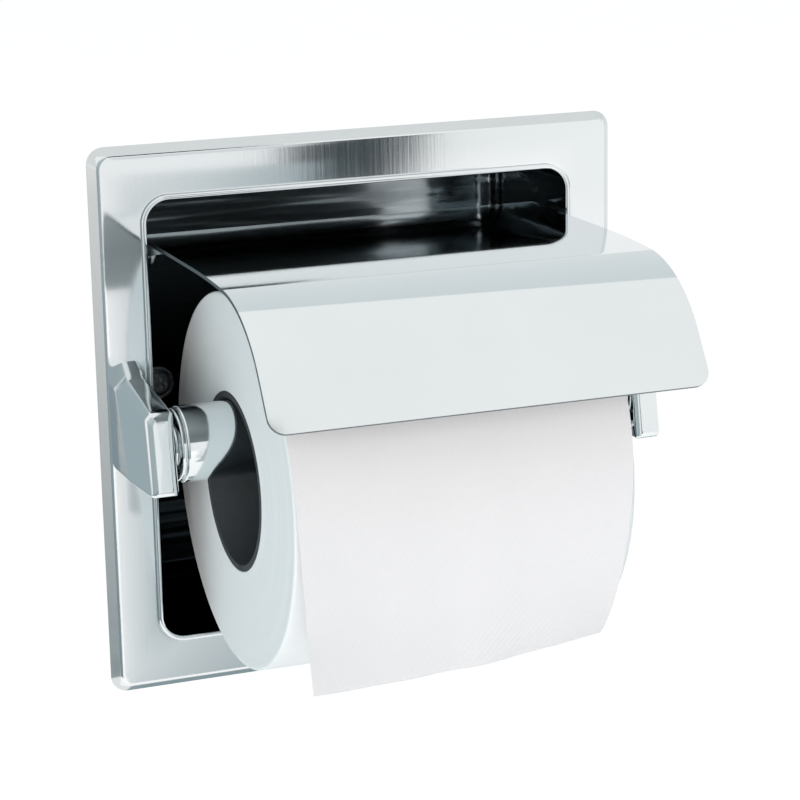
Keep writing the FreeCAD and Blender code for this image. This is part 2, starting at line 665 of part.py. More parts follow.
def clamp_nut(side):
    front = CLAMP_BAR_Y + CLAMP_STRIP
    radius = NUT_ACROSS / math.sqrt(3)
    x = side * CLAMP_SCREW_X
    angles = [math.radians(60 * step) for step in range(6)]
    corners = [point(x + radius * math.cos(a), front, CLAMP_SCREW_Z + radius * math.sin(a)) for a in angles]
    nut = Part.Face(Part.makePolygon(corners + corners[:1])).extrude(Y_AXIS * NUT_HEIGHT)
    bore_end = front + NUT_HEIGHT + CUT_SPARE
    bore = rod_y(CLAMP_SCREW_D + 2 * RUNNING, front - CUT_SPARE, bore_end, x, CLAMP_SCREW_Z)
    return nut.cut(bore)


def cup_washer(side):
    front = PAN_DEPTH - CUP_HEIGHT
    bore = CLAMP_SCREW_D / 2 + RUNNING
    rim_inner = CUP_D / 2 - CUP_RIM
    seat = PAN_DEPTH - CUP_FLOOR
    profile = [
        (PAN_DEPTH, bore),
        (PAN_DEPTH, CUP_D / 2),
        (front + CUP_EDGE, CUP_D / 2),
        (front, CUP_D / 2 - CUP_EDGE),
        (front, rim_inner + CUP_EDGE),
        (seat, rim_inner),
        (seat, bore),
    ]
    return lathe_y(profile, side * CLAMP_SCREW_X, CLAMP_SCREW_Z)


def clamp_screw(side):
    x = side * CLAMP_SCREW_X
    seat = PAN_DEPTH - CUP_FLOOR - CLAMP_HEAD_GAP
    top = seat - CLAMP_HEAD_HEIGHT
    tip = seat + CLAMP_SCREW_LENGTH
    profile = [
        (top, 0),
        (top, CLAMP_HEAD_D / 2 - CLAMP_HEAD_DOME),
        (top + CLAMP_HEAD_DOME, CLAMP_HEAD_D / 2),
        (seat, CLAMP_HEAD_D / 2),
        (seat, CLAMP_SCREW_D / 2),
        (tip - CLAMP_SCREW_POINT, CLAMP_SCREW_D / 2),
        (tip, CLAMP_SCREW_D / 2 - CLAMP_SCREW_POINT),
        (tip, 0),
    ]
    screw = lathe_y(profile, x, CLAMP_SCREW_Z)
    long_way = CLAMP_RECESS_LENGTH
    short_way = CLAMP_RECESS_WIDTH
    for width, height in ((long_way, short_way), (short_way, long_way)):
        corner = point(x - width / 2, top - CUT_SPARE, CLAMP_SCREW_Z - height / 2)
        screw = screw.cut(Part.makeBox(width, CLAMP_RECESS_DEPTH + CUT_SPARE, height, corner))
    return screw


NODES = {
    "trim_flange": trim_flange,
    "recess_pan": recess_pan,
    "hood": hood,
    "roller_outer_half": roller_outer_half,
    "roller_inner_half": roller_inner_half,
    "roller_spring": roller_spring,
    "core_tube": core_tube,
    "paper_roll": paper_roll,
    "paper_tail": paper_tail,
}

SIDED_NODES = {
    "post": post,
    "post_screws": post_screws,
    "hinge_pin": hinge_pin,
    "hinge_clip": hinge_clip,
    "hood_stop": hood_stop,
    "end_plug": end_plug,
    "clamp": clamp,
    "clamp_nut": clamp_nut,
    "cup_washer": cup_washer,
    "clamp_screw": clamp_screw,
}


def export(name, shape):
    if not shape.isValid():
        raise ValueError(name + " is not a valid solid")
    shape.exportStep(os.path.join("parts", name + ".step"))
    print(name, len(shape.Solids), round(shape.Volume, 1))


os.makedirs("parts", exist_ok=True)
for name, make in NODES.items():
    export(name, make())
for name, make in SIDED_NODES.items():
    export("left_" + name, make(LEFT))
    export("right_" + name, make(RIGHT))
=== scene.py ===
import math

import bmesh
import bpy
import numpy as np
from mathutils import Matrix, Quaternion, Vector


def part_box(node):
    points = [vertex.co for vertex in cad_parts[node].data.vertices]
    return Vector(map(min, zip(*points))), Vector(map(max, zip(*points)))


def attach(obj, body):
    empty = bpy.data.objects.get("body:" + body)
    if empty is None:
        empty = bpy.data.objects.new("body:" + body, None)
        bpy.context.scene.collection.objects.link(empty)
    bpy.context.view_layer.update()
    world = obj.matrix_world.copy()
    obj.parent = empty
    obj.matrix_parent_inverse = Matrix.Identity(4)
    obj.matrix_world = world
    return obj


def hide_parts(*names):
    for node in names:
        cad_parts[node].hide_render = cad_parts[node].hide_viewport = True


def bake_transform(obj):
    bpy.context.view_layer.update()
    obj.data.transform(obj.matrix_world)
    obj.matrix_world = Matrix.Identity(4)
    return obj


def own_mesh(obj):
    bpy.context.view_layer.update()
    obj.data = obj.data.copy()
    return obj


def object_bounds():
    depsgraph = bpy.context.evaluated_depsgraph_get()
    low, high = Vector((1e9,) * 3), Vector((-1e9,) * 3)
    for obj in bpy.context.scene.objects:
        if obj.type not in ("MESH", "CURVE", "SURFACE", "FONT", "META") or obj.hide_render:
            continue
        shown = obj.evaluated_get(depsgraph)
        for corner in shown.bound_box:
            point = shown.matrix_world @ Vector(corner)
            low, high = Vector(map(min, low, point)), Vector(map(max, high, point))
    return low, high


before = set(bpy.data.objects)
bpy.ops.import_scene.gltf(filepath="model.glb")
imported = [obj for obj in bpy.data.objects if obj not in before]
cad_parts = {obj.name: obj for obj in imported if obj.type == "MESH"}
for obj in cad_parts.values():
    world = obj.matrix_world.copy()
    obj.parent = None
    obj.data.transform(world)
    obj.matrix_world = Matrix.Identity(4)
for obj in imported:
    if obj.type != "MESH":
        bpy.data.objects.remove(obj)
cad_low, cad_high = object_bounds()


# Trim flange: the square frame on the wall, pressed from thin steel sheet with a
# bevelled rim and a slightly pillowed face, then plated with chrome. Screws through it
# into the posts and the pan's lip over its inner edge hold the unit together.
MM = 0.001
WELD = 1e-6
SLIGHT = 1e-9
FLANGE_BEVEL = 2.5 * MM
FLANGE_SHEET = 1.0 * MM
FLANGE_HOLE = 64.0 * MM
FLANGE_PILLOW = 0.08 * MM
FLANGE_FACE_BAND = 0.05 * MM
FLANGE_ROUNDS = (0.2, 1.1, 0.25, 0.25, 0.6, 0.2)
FLANGE_CORNER_AT = (64.0, 70.0, 76.0, 78.5)
FLANGE_CORNERS = (7.5, 4.2, 3.6, 5.0)
FLANGE_CHROME = (0.83, 0.86, 0.87, 1.0)
FLANGE_RIM_CHROME = (0.66, 0.70, 0.705, 1.0)
WIPE_TONE = 0.94
WIPE_ROUGH = 0.4
flange_low, flange_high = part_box("trim_flange")
FLANGE_HALF = flange_high.x
FACE_Y = flange_low.y


class Flow:
    """One output of a material's nodes: arithmetic on it adds Math nodes, and add() makes any other node."""

    def __init__(self, tree, socket=None):
        self.tree = tree
        self.socket = socket

    def add(self, kind, settings=None, inputs=None, output=0):
        """A new node of a kind: first its settings, then the values or links of its sockets."""
        node = self.tree.nodes.new("ShaderNode" + kind)
        for name, value in (settings or {}).items():
            setattr(node, name, value)
        for name, value in (inputs or {}).items():
            self.join(node.inputs[name], value)
        return Flow(self.tree, node.outputs[output])

    def join(self, socket, value):
        """Links a value that varies to a socket, or sets a fixed one on it."""
        if isinstance(value, Flow):
            self.tree.links.new(value.socket, socket)
        else:
            socket.default_value = value

    def math(self, operation, first, second=0.0):
        """The result of a Math node on one value or two."""
        return self.add("Math", {"operation": operation}, {0: first, 1: second})

    def __add__(self, other):
        return self.math("ADD", self, other)

    def __radd__(self, other):
        return self.math("ADD", other, self)

    def __sub__(self, other):
        return self.math("SUBTRACT", self, other)

    def __rsub__(self, other):
        return self.math("SUBTRACT", other, self)

    def __mul__(self, other):
        return self.math("MULTIPLY", self, other)

    def __rmul__(self, other):
        return self.math("MULTIPLY", other, self)

    def __pow__(self, other):
        return self.math("POWER", self, other)

    def mixed(self, first, second):
        """A colour that goes from the first to the second as this value goes from 0 to 1."""
        return self.add("Mix", {"data_type": "RGBA"}, {0: self, 6: first, 7: second}, output=2)

    def noise(self, stretch, detail=2.0):
        """Noise from 0 to 1 at this place, with so many cells to the metre along each axis."""
        spread = self.add("Mapping", {}, {"Vector": self, "Scale": stretch})
        return self.add("TexNoise", {}, {"Vector": spread, "Scale": 1.0, "Detail": detail})

    def part(self, axis):
        """One coordinate of this place."""
        return self.add("SeparateXYZ", {}, {"Vector": self}, output=axis)

    def bump(self, strength=1.0):
        """The normal of a surface with this height in metres."""
        return self.add("Bump", {}, {"Height": self, "Strength": strength, "Distance": 1.0})


def new_finish(name):
    """An empty finish: the material, its shader node and the piece's own coordinates in metres."""
    finish = bpy.data.materials.new(name)
    finish.use_nodes = True
    shader = finish.node_tree.nodes["Principled BSDF"]
    place = Flow(finish.node_tree).add("TexCoord", output="Object")
    return finish, shader, place


def set_shader(shader, place, sockets):
    """Joins each named socket of a shader to its value."""
    for name, value in sockets.items():
        place.join(shader.inputs[name], value)


def plated_finish(name, colour, gloss, grain, grain_rough, grain_depth, swell, swell_depth):
    """Chrome plate: polishing marks drawn out along one axis roughen it by grain_rough and are grain_depth
    deep, wiping marks dull it in patches, and slow swells, swell_depth high, bend what it mirrors."""
    finish, shader, place = new_finish(name)
    marks = place.noise(grain, 3.0)
    wipes = place.noise((38.0, 38.0, 38.0), 4.0)
    swells = place.noise(swell, 1.0)
    wiped = tuple(WIPE_TONE * part for part in colour[:3]) + (1.0,)
    height = swells * swell_depth + marks * grain_depth
    set_shader(shader, place, {
        "Base Color": wipes.mixed(wiped, colour),
        "Metallic": 1.0,
        "Roughness": gloss + marks * grain_rough + wipes * (WIPE_ROUGH * grain_rough),
        "Normal": height.bump(),
    })
    return finish


def rounded_line(corners, radii, arc_steps=6, run_steps=1, closed=True):
    """Points along a line of corners, or along a stack of such lines. Each corner becomes an arc of its
    own radius that touches both its runs, and each run between two arcs is cut into equal steps. A closed
    line repeats its first point at its end."""
    corners = np.asarray(corners, dtype=float)
    radii = np.asarray(radii, dtype=float)[..., None]
    to_last = np.roll(corners, 1, axis=-2) - corners
    to_next = np.roll(corners, -1, axis=-2) - corners
    to_last = to_last / np.linalg.norm(to_last, axis=-1, keepdims=True)
    to_next = to_next / np.linalg.norm(to_next, axis=-1, keepdims=True)
    between = np.clip(np.sum(to_last * to_next, axis=-1, keepdims=True), SLIGHT - 1, 1 - SLIGHT)
    half_angle = np.arccos(between) / 2
    middle = to_last + to_next
    middle = middle / np.linalg.norm(middle, axis=-1, keepdims=True)
    centres = corners + middle * radii / np.sin(half_angle)
    starts = corners + to_last * radii / np.tan(half_angle) - centres
    ends = corners + to_next * radii / np.tan(half_angle) - centres
    sweep = (math.pi - 2 * half_angle)[..., None, :]
    share = np.linspace(0, 1, arc_steps + 1)[:, None]
    arcs = np.sin((1 - share) * sweep) * starts[..., None, :] + np.sin(share * sweep) * ends[..., None, :]
    arcs = centres[..., None, :] + arcs / np.sin(sweep)
    share = np.linspace(0, 1, run_steps + 1)[1:-1, None]
    leave = arcs[..., -1, :][..., None, :]
    reach = np.roll(arcs[..., 0, :], -1, axis=-2)[..., None, :]
    runs = leave + (reach - leave) * share
    line = np.concatenate([arcs, runs], axis=-2)
    line = line.reshape(line.shape[:-3] + (-1, corners.shape[-1]))
    if closed:
        return np.concatenate([line, line[..., :1, :]], axis=-2)
    spare = runs.shape[-2]
    return line[..., arc_steps:line.shape[-2] - spare - arc_steps, :]


def square_rings(half, corner, depth, arc_steps=10, side_steps=20):
    """A profile carried round a square on the wall. Each profile point has its own half width, corner radius
    and depth along Y, and its ring is four arcs joined by straight sides, first point repeated."""
    angles = np.linspace(0, math.pi / 2, arc_steps + 1) + np.arange(4)[:, None] * math.pi / 2
    signs = np.array([[1, 1], [-1, 1], [-1, -1], [1, -1]], dtype=float)
    centres = signs * (half - corner)[:, None, None]
    arms = np.stack([np.cos(angles), np.sin(angles)], axis=-1)
    arcs = centres[:, :, None, :] + arms * corner[:, None, None, None]
    share = np.linspace(0, 1, side_steps + 1)[1:-1, None]
    leave = arcs[:, :, -1:, :]
    sides = leave + (np.roll(arcs[:, :, :1, :], -1, axis=1) - leave) * share
    ring = np.concatenate([arcs, sides], axis=2).reshape(len(half), -1, 2)
    ring = np.concatenate([ring, ring[:, :1]], axis=1)
    depths = np.broadcast_to(depth[:, None], ring.shape[:2])
    return np.stack([ring[..., 0], depths, ring[..., 1]], axis=-1)


def make_piece(name, grids, finish, sharp=35.0, closed=True):
    """A smooth mesh object of grids of points (rows, columns, xyz). Repeated points are welded, a closed
    shell's faces are turned outwards, and edges sharper than the given angle stay crisp."""
    counts = np.cumsum([0] + [grid.shape[0] * grid.shape[1] for grid in grids])
    faces = []
    for grid, first in zip(grids, counts):
        index = np.arange(grid.shape[0] * grid.shape[1]).reshape(grid.shape[:2]) + first
        quads = [index[:-1, :-1], index[1:, :-1], index[1:, 1:], index[:-1, 1:]]
        faces.append(np.stack(quads, axis=-1).reshape(-1, 4))
    mesh = bpy.data.meshes.new(name)
    points = np.concatenate([grid.reshape(-1, 3) for grid in grids])
    mesh.from_pydata(points.tolist(), [], np.concatenate(faces).tolist())
    shell = bmesh.new()
    shell.from_mesh(mesh)
    bmesh.ops.remove_doubles(shell, verts=shell.verts, dist=WELD)
    if closed:
        bmesh.ops.recalc_face_normals(shell, faces=shell.faces)
    shell.to_mesh(mesh)
    shell.free()
    mesh.shade_smooth()
    mesh.set_sharp_from_angle(angle=math.radians(sharp))
    mesh.materials.append(finish)
    piece = bpy.data.objects.new(name, mesh)
    bpy.context.collection.objects.link(piece)
    return piece


def face_vectors(piece, kind):
    """One vector of each of a piece's faces: its center or its normal."""
    vectors = np.empty(len(piece.data.polygons) * 3)
    piece.data.polygons.foreach_get(kind, vectors)
    return vectors.reshape(-1, 3)


def choose_finish(piece, chosen):
    """Gives each face of a piece the finish whose number is listed for it."""
    piece.data.polygons.foreach_set("material_index", chosen.astype(np.int32))


flange_corners = [
    (FLANGE_HALF, 0.0),
    (FLANGE_HALF - FLANGE_BEVEL, FACE_Y),
    (FLANGE_HOLE, FACE_Y),
    (FLANGE_HOLE, FACE_Y + FLANGE_SHEET),
    (FLANGE_HALF - FLANGE_BEVEL - FLANGE_SHEET, FACE_Y + FLANGE_SHEET),
    (FLANGE_HALF - FLANGE_SHEET, 0.0),
]
flange_line = rounded_line(flange_corners, np.array(FLANGE_ROUNDS) * MM, 6, 14)
flange_h, flange_y = flange_line.T
border_middle = (FLANGE_HOLE + FLANGE_HALF - FLANGE_BEVEL) / 2
border_half = (FLANGE_HALF - FLANGE_BEVEL - FLANGE_HOLE) / 2
pillow = np.clip(1 - ((flange_h - border_middle) / border_half) ** 2, 0, None) * FLANGE_PILLOW
flange_y = flange_y - np.where(flange_y < FACE_Y + FLANGE_FACE_BAND, pillow, 0.0)
flange_corner = np.interp(flange_h, np.array(FLANGE_CORNER_AT) * MM, np.array(FLANGE_CORNERS) * MM)

flange_finish = plated_finish(
    "brushed_flange_chrome", FLANGE_CHROME, gloss=0.05, grain=(1300.0, 300.0, 40.0), grain_rough=0.05,
    grain_depth=0.003 * MM, swell=(26.0, 26.0, 26.0), swell_depth=0.05 * MM)
flange = make_piece("flange_frame", [square_rings(flange_h, flange_corner, flange_y)], flange_finish)
flange.data.materials.append(plated_finish(
    "dull_rim_chrome", FLANGE_RIM_CHROME, gloss=0.12, grain=(300.0, 300.0, 300.0), grain_rough=0.1,
    grain_depth=0.002 * MM, swell=(60.0, 60.0, 60.0), swell_depth=0.02 * MM))
outward = np.abs(face_vectors(flange, "center")[:, [0, 2]]).max(axis=1)
choose_finish(flange, outward > FLANGE_HALF - FLANGE_BEVEL)
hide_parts("trim_flange")
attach(flange, "wall_unit")


# Recess pan: a square box drawn from one sheet, with a rolled lip that lies on the flange
# and presses it to the wall. Its lip is polished bright, its outside is dull, and inside it
# is a dark mirror whose drawn walls are slightly wavy. Its inside is darkened further towards
# the bottom with painted shade.
PAN_INSIDE = 63.0 * MM
PAN_SHEET = 0.8 * MM
PAN_DEPTH = 50.0 * MM
PAN_CORNER = 6.5 * MM
PAN_FLAT_CORNER = 0.5 * MM
PAN_ROUNDS = (0.0, 6.8, 0.1, 0.1, 0.65, 0.65, 6.0, 0.0)
# Painted shade: below this share of the inside height the pan's colour darkens to near black at the bottom.
PAN_SHADE_HEIGHT = 0.8
LIP_BAND = 0.25 * MM
PAN_PAINTED_SHADE = (0.014, 0.018, 0.021, 1.0)
PAN_OUTSIDE_STEEL = (0.42, 0.44, 0.45, 1.0)
PAN_BRIGHT = (0.40, 0.44, 0.46, 1.0)
LIP_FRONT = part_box("recess_pan")[0].y
LIP_HALF = 64.4 * MM
PAN_OUTSIDE = PAN_INSIDE + PAN_SHEET
PAN_BACK = PAN_DEPTH + PAN_SHEET

pan_corners = [
    (0.0, PAN_BACK),
    (PAN_OUTSIDE, PAN_BACK),
    (PAN_OUTSIDE, FACE_Y),
    (LIP_HALF, FACE_Y),
    (LIP_HALF, LIP_FRONT),
    (PAN_INSIDE, LIP_FRONT),
    (PAN_INSIDE, PAN_DEPTH),
    (0.0, PAN_DEPTH),
]
pan_line = rounded_line(pan_corners, np.array(PAN_ROUNDS) * MM, 9, 12, closed=False)
pan_h, pan_y = pan_line.T
pan_corner = np.maximum(PAN_CORNER + pan_h - PAN_INSIDE, PAN_FLAT_CORNER)
pan_corner = np.minimum(pan_corner, pan_h)


def shaded_mirror_finish(name):
    """Dark polished metal: a low mirror with a fine drawn grain and painted shade, its colour near black at
    the bottom and brighter towards its top, whose slow horizontal waves break up what it mirrors into
    streaks."""
    finish, shader, place = new_finish(name)
    waves = place.noise((12.0, 60.0, 150.0), 2.0)
    dents = place.noise((70.0, 70.0, 70.0), 2.0)
    grain = place.noise((60.0, 400.0, 1500.0), 2.0)
    painted_shade_lift = place.add("MapRange", {"interpolation_type": "SMOOTHSTEP"},
                       {"Value": place.part("Z"), "From Min": 0.0, "From Max": PAN_SHADE_HEIGHT * PAN_INSIDE})
    height = waves * (0.45 * MM) + dents * (0.02 * MM)
    set_shader(shader, place, {
        # Painted shade: the colour goes from near black at the pan's bottom to brighter metal towards its
        # top.
        "Base Color": (painted_shade_lift * (0.8 + grain * 0.2)).mixed(PAN_PAINTED_SHADE, PAN_BRIGHT),
        "Metallic": 1.0,
        "Roughness": 0.09 + grain * 0.08,
        "Normal": height.bump(),
    })
    return finish


pan_finish = shaded_mirror_finish("pan_mirror_painted_shade")
pan = make_piece("drawn_pan", [square_rings(pan_h, pan_corner, pan_y, 10, 16)], pan_finish)
pan.data.materials.append(plated_finish(
    "polished_lip_chrome", FLANGE_CHROME, gloss=0.05, grain=(150.0, 150.0, 150.0), grain_rough=0.05,
    grain_depth=0.0005 * MM, swell=(40.0, 40.0, 40.0), swell_depth=0.01 * MM))
pan.data.materials.append(plated_finish(
    "dull_pan_outside", PAN_OUTSIDE_STEEL, gloss=0.32, grain=(60.0, 400.0, 900.0), grain_rough=0.15,
    grain_depth=0.003 * MM, swell=(40.0, 40.0, 40.0), swell_depth=0.02 * MM))
pan_centres = face_vectors(pan, "center")
from_middle = pan_centres - (0.0, PAN_DEPTH / 2, 0.0)
faces_out = np.sum(face_vectors(pan, "normal") * from_middle, axis=1) > 0
on_lip = pan_centres[:, 1] < FACE_Y - LIP_BAND
choose_finish(pan, np.where(on_lip, 1, 2 * faces_out))
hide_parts("recess_pan")
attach(pan, "wall_unit")


# Posts: two die-cast brackets that stand out of the flange and carry the roller between
# them. Each narrows and slopes down to a front that leans back, has a chamfered outer
# shoulder and a slanting facet at its foot, and is buffed and plated like the flange.
POST_INNER = 67.0 * MM
POST_WIDTH = 8.5 * MM
POST_REACH = 39.0 * MM
POST_TAPER = 0.4 * MM
POST_ROUND = 1.1 * MM
POST_FRONT_ROUND = 2.0 * MM
POST_FOOT = (0.7, 3.2, (0.0, -12.0), (0.0, 12.3), (0.0, 18.8))
POST_CREASE = (0.0, 2.8, (17.0, -11.13), (6.0, 12.02), (9.0, 15.6))
POST_FRONT = (0.0, 1.6, (39.0, -10.0), (35.3, 10.5), (35.0, 12.1))
POST_CREASE_SHARE = 0.02
POST_CHROME = (0.82, 0.86, 0.87, 1.0)


def post_corners(inset, ridge, low, shoulder, top):
    """The five corners of a right-hand post's ring, from sizes in millimetres. Low, shoulder and top are each
    a depth in front of the flange and a height, the inset narrows the ring, and the ridge lies in from its
    outer side."""
    depth, height = np.array([low, low, shoulder, top, top]).T * MM
    drawn_in = POST_TAPER * depth / POST_REACH
    inner = POST_INNER + drawn_in
    outer = POST_INNER + POST_WIDTH - drawn_in - inset * MM
    x = np.array([inner[0], outer[1], outer[2], outer[3] - ridge * MM, inner[4]])
    return np.stack([x, FACE_Y - depth, height], axis=-1)


def post_grid(side):
    """A five-cornered ring lofted from the flange to a slanting crease and on to a front that leans back: its
    corners move evenly between the three. The front edge is rounded by shrinking the last rings as a quarter
    circle."""
    foot = post_corners(*POST_FOOT)
    crease = post_corners(*POST_CREASE)
    front = post_corners(*POST_FRONT)
    bend = np.linspace(0, math.pi / 2, 9)
    last = 1 - POST_FRONT_ROUND / POST_REACH
    behind = np.linspace(0, 1 - POST_CREASE_SHARE, 6)[:, None, None]
    ahead = np.linspace(POST_CREASE_SHARE, last, 14)[:-1]
    share = np.concatenate([ahead, last + (1 - last) * np.sin(bend), [1.0]])
    straight = np.zeros(len(behind) + len(ahead))
    shrink = np.concatenate([straight, POST_FRONT_ROUND * (1 - np.cos(bend)), [1.0]])
    corners = np.concatenate([
        foot + (crease - foot) * behind,
        crease + (front - crease) * share[:, None, None],
    ])
    rings = rounded_line(corners, np.full(5, POST_ROUND), 6, 3)
    low = rings.min(axis=1, keepdims=True)
    high = rings.max(axis=1, keepdims=True)
    middle = (low + high) / 2
    kept = np.clip(1 - shrink[:, None, None] * 2 / np.maximum(high - low, WELD), 0, None)
    kept[..., 1] = kept[..., 2]
    rings = middle + (rings - middle) * kept
    cap = rings[:1].copy()
    cap[..., [0, 2]] = middle[:1][..., [0, 2]]
    return np.concatenate([cap, rings]) * (side, 1, 1)


post_finish = plated_finish(
    "buffed_post_chrome", POST_CHROME, gloss=0.05, grain=(90.0, 90.0, 900.0), grain_rough=0.05,
    grain_depth=0.003 * MM, swell=(60.0, 60.0, 60.0), swell_depth=0.01 * MM)
for side, side_name in ((-1, "left"), (1, "right")):
    post = make_piece(f"{side_name}_bracket", [post_grid(side)], post_finish, 30.0)
    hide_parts(f"{side_name}_post")
    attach(post, "wall_unit")


# Small fixings: the posts' low-head screws behind the flange, the hinge rivets with their
# push-on clips, the hood's stop pins, the cups in the pan's back and the clamps' screws are
# turned or stamped from plain bright steel.
STEEL = (0.62, 0.63, 0.64, 1.0)


def dress_pairs(names, finish):
    """Gives the left and right nodes of each name one finish."""
    for name in names:
        for side_name in ("left", "right"):
            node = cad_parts[f"{side_name}_{name}"]
            node.data.materials.clear()
            node.data.materials.append(finish)


steel_finish = plated_finish(
    "bright_turned_steel", STEEL, gloss=0.26, grain=(2500.0, 700.0, 700.0), grain_rough=0.14,
    grain_depth=0.006 * MM, swell=(90.0, 90.0, 90.0), swell_depth=0.01 * MM)
dress_pairs(
    ("post_screws", "hinge_pin", "hinge_clip", "hood_stop", "cup_washer", "clamp_screw"), steel_finish)


# Wall clamps: a bent strip on each side behind the pan, drawn forward by a screw and a nut
# until its feet grip the rear of the wall board. They are plain zinc-plated steel.
ZINC = (0.60, 0.62, 0.64, 1.0)
ZINC_YELLOW = (0.56, 0.56, 0.50, 1.0)


def zinc_finish(name):
    """Zinc plate: crystals a few millimetres across, each with its own tint and dullness."""
    finish, shader, place = new_finish(name)
    cells = place.add("TexVoronoi", {}, {"Vector": place, "Scale": 260.0}, output="Color")
    shade = place.add("SeparateColor", {}, {"Color": cells})
    stains = place.noise((45.0, 45.0, 45.0), 3.0)
    set_shader(shader, place, {
        "Base Color": (shade * 0.5 + stains * 0.5).mixed(ZINC, ZINC_YELLOW),
        "Metallic": 1.0,
        "Roughness": 0.28 + shade * 0.14 + stains * 0.1,
        "Normal": (shade * (0.01 * MM)).bump(),
    })
    return finish


dress_pairs(("clamp", "clamp_nut"), zinc_finish("zinc_plated_strip"))


# Hood: one steel sheet bent down in front over the roll, with a tab at each rear corner
# that turns on a rivet in the pan's side. It is polished to a mirror and plated outside,
# dull underneath, and its cut edges are dull steel darkened with painted shade.
HOOD_HALF = 60.45 * MM
HOOD_TOP = 50.5 * MM
HOOD_SHEET = 1.0 * MM
HOOD_REAR = 14.0 * MM
HOOD_FLAT_END = -37.2 * MM
HOOD_EASE = 26.0 * MM
HOOD_EASE_SWEEP = math.radians(4.0)
HOOD_BEND = 36.47 * MM
HOOD_SWEEP = math.radians(58.0)
HOOD_SKIRT = 15.1 * MM
HOOD_CORNER = 4.5 * MM
HOOD_CHROME = (0.80, 0.84, 0.85, 1.0)
HOOD_UNDERSIDE = (0.40, 0.44, 0.45, 1.0)
# Painted shade: the cut edges are coloured dark for the shadow line along the hood's edges.
HOOD_EDGE_PAINTED_SHADE = (0.16, 0.19, 0.20, 1.0)
HOOD_EDGE = 0.32 * MM
EAR_FRONT = -11.0 * MM
EAR_NECK = 5.9 * MM
EAR_NECK_SLOPE = 0.5 * MM
EAR_HINGE = 9.5 * MM
EAR_RADIUS = 3.6 * MM
EAR_HEEL = 40.5 * MM
EAR_NECK_Z = 45.9 * MM
EAR_EDGE = 0.5 * MM


def hood_grid():
    """A sheet that runs forward level, starts to droop a little, turns down on an arc and ends in a straight
    skirt: its slope is even in each stretch of that line, and its points are the sum of short steps along the
    slope. The half width falls as a quarter circle over the last few millimetres."""
    flat = HOOD_REAR - HOOD_FLAT_END
    bend = flat + HOOD_EASE
    skirt = bend + HOOD_BEND * (HOOD_SWEEP - HOOD_EASE_SWEEP)
    total = skirt + HOOD_SKIRT
    corner_start = total - HOOD_CORNER
    turn = np.linspace(0, math.pi / 2, 14)
    along = np.concatenate([
        np.linspace(0, flat, 16)[:-1],
        np.linspace(flat, bend, 14)[:-1],
        np.linspace(bend, skirt, 40)[:-1],
        np.linspace(skirt, corner_start, 8)[:-1],
        corner_start + HOOD_CORNER * np.sin(turn),
    ])
    slope = np.interp(along, [flat, bend, skirt], [0.0, HOOD_EASE_SWEEP, HOOD_SWEEP])
    step = np.diff(along)
    step_slope = (slope[1:] + slope[:-1]) / 2
    y = HOOD_REAR - np.concatenate([[0.0], np.cumsum(step * np.cos(step_slope))])
    z = HOOD_TOP - np.concatenate([[0.0], np.cumsum(step * np.sin(step_slope))])
    past = np.clip(along - corner_start, 0, HOOD_CORNER)
    half = HOOD_HALF - HOOD_CORNER + np.sqrt(HOOD_CORNER ** 2 - past ** 2)
    across = np.linspace(-1, 1, 31)
    grid = np.empty((len(along), len(across), 3))
    grid[..., 0] = half[:, None] * across
    grid[..., 1] = y[:, None]
    grid[..., 2] = z[:, None]
    return grid


def ear_grid(side):
    """A tab in the plane of the hood's edge: each place along Y has its own lower end, first on a slope and
    then round the heel, and the rows fill the height between the sheet and that end."""
    slope_y = np.linspace(EAR_FRONT, EAR_NECK - EAR_NECK_SLOPE, 12)
    heel_turn = np.linspace(-1, 1, 19)
    heel_y = EAR_HINGE + EAR_RADIUS * np.sin(heel_turn * math.pi / 2)
    y = np.concatenate([slope_y, heel_y])
    rise = (slope_y - EAR_FRONT) / (EAR_NECK - EAR_FRONT)
    top = HOOD_TOP - HOOD_SHEET / 2
    slope_z = top - EAR_EDGE + (EAR_NECK_Z - top + EAR_EDGE) * rise
    heel_z = EAR_HEEL - EAR_RADIUS * np.cos(heel_turn * math.pi / 2)
    low = np.concatenate([slope_z, heel_z])
    share = np.linspace(0, 1, 7)[:, None]
    grid = np.empty((len(share), len(y), 3))
    grid[..., 0] = side * HOOD_HALF
    grid[..., 1] = y
    grid[..., 2] = top + (low - top) * share
    return grid[:, ::-side]


def thicken(piece, depth, edge):
    """Gives an open sheet its thickness, inwards from its faces, and breaks its edges."""
    wall = piece.modifiers.new("sheet", "SOLIDIFY")
    wall.thickness = depth
    wall.offset = -1.0
    wall.use_even_offset = True
    broken = piece.modifiers.new("broken_edge", "BEVEL")
    broken.width = edge
    broken.segments = 2
    broken.limit_method = "ANGLE"
    broken.angle_limit = math.radians(50.0)
    broken.harden_normals = True


hood_finish = plated_finish(
    "mirror_hood_chrome", HOOD_CHROME, gloss=0.03, grain=(500.0, 40.0, 500.0), grain_rough=0.03,
    grain_depth=0.002 * MM, swell=(14.0, 14.0, 14.0), swell_depth=0.03 * MM)
hood = make_piece("bent_hood", [hood_grid(), ear_grid(-1), ear_grid(1)], hood_finish, 40.0, closed=False)
hood.data.materials.append(plated_finish(
    "dull_hood_underside", HOOD_UNDERSIDE, gloss=0.55, grain=(700.0, 60.0, 700.0), grain_rough=0.15,
    grain_depth=0.004 * MM, swell=(30.0, 30.0, 30.0), swell_depth=0.02 * MM))
hood.data.materials.append(plated_finish(
    "cut_hood_edge_painted_shade", HOOD_EDGE_PAINTED_SHADE, gloss=0.35, grain=(900.0, 900.0, 900.0), grain_rough=0.1,
    grain_depth=0.002 * MM, swell=(60.0, 60.0, 60.0), swell_depth=0.01 * MM))
thicken(hood, HOOD_SHEET, HOOD_EDGE)
hood.modifiers["sheet"].material_offset = 1
hood.modifiers["sheet"].material_offset_rim = 2
hood.modifiers["broken_edge"].material = 2
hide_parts("hood")
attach(hood, "hood")


